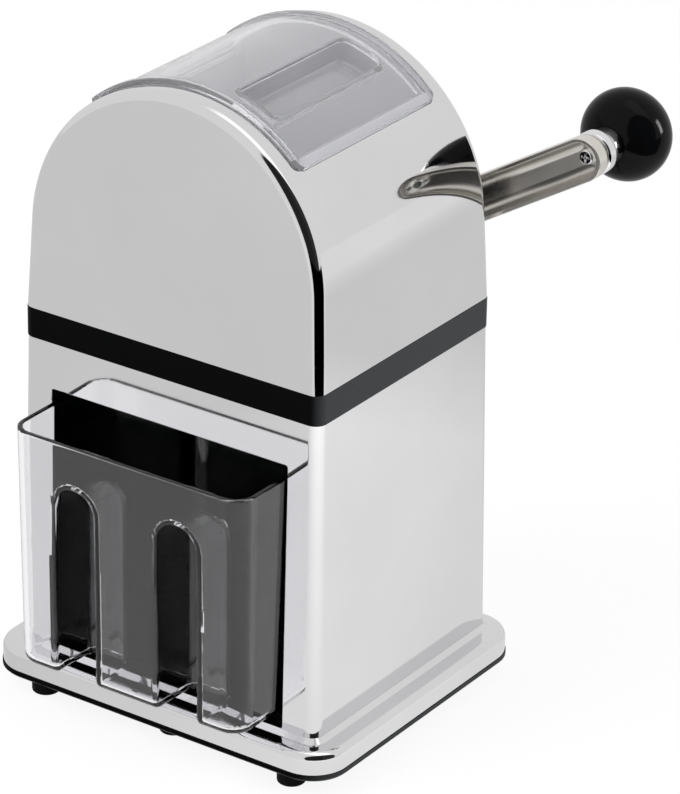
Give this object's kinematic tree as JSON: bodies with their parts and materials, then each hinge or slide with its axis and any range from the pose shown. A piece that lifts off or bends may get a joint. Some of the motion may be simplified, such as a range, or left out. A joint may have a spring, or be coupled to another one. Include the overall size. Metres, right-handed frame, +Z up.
{
  "type": "hand cranked ice crusher",
  "caption": "Hand cranked ice crusher: chrome arched housing with clear lid, pull-out clear drawer with finger tunnels, toothed rotor and rear crank with ball knob.",
  "frame": {"origin": "middle of the whole object's footprint, on the surface that the feet stand on", "axes": "+Z up, -Y towards the front with the drawer, +X to the right seen from the front; the crank is at the back"},
  "size_m": [0.2038, 0.195, 0.2675],
  "materials": {
    "chrome": "polished",
    "black_plastic": "satin",
    "black_gloss": "glossy",
    "smoke_clear": "clear moulded",
    "clear_lid": "clear moulded",
    "nickel": "bright",
    "steel": "machined",
    "bronze": "machined",
    "rubber": "matte",
    "zinc": "plated"
  },
  "bodies": {
    "housing": {"rubber_feet": "rubber", "base_plate": "black_plastic", "base_screws": "zinc", "plinth": "chrome", "lower_housing": "chrome", "drawer_bay": "black_plastic", "tie_screws": "zinc", "middle_band": "black_plastic", "rear_bearing": "bronze", "front_bearing": "bronze", "comb_right": "steel", "comb_left": "steel", "comb_screws": "zinc", "upper_housing": "chrome", "housing_screws": "zinc", "hopper": "smoke_clear", "rear_collar": "chrome", "lid_pins": "steel"},
    "lid_body": {"lid": "clear_lid"},
    "drawer_body": {"drawer": "smoke_clear"},
    "crank_body": {"crank_shaft": "steel", "cutter_1": "steel", "cutter_2": "steel", "cutter_3": "steel", "cutter_4": "steel", "cutter_5": "steel", "rotor_spacers": "steel", "rotor_pin": "steel", "crank_arm": "nickel", "crank_nut": "chrome", "knob_screw": "nickel", "knob_washer": "chrome"},
    "knob_body": {"knob": "black_gloss", "knob_ferrule": "chrome"}
  },
  "joints": [
    {"name": "crank_spin", "type": "hinge", "parent": "housing", "child": "crank_body", "pos_m": [-0.02064, -0.01148, 0.1639], "axis": [0, 1, 0], "continuous": true},
    {"name": "knob_spin", "type": "hinge", "parent": "crank_body", "child": "knob_body", "pos_m": [0.08364, -0.01148, 0.2278], "axis": [0, 1, 0], "continuous": true},
    {"name": "lid_hinge", "type": "hinge", "parent": "housing", "child": "lid_body", "pos_m": [-0.06618, -0.01148, 0.24422], "axis": [0, -1, 0], "range_deg": [0, 95]},
    {"name": "drawer_slide", "type": "slide", "parent": "housing", "child": "drawer_body", "axis": [0, -1, 0], "range_m": [-0.017, 0.085]}
  ]
}
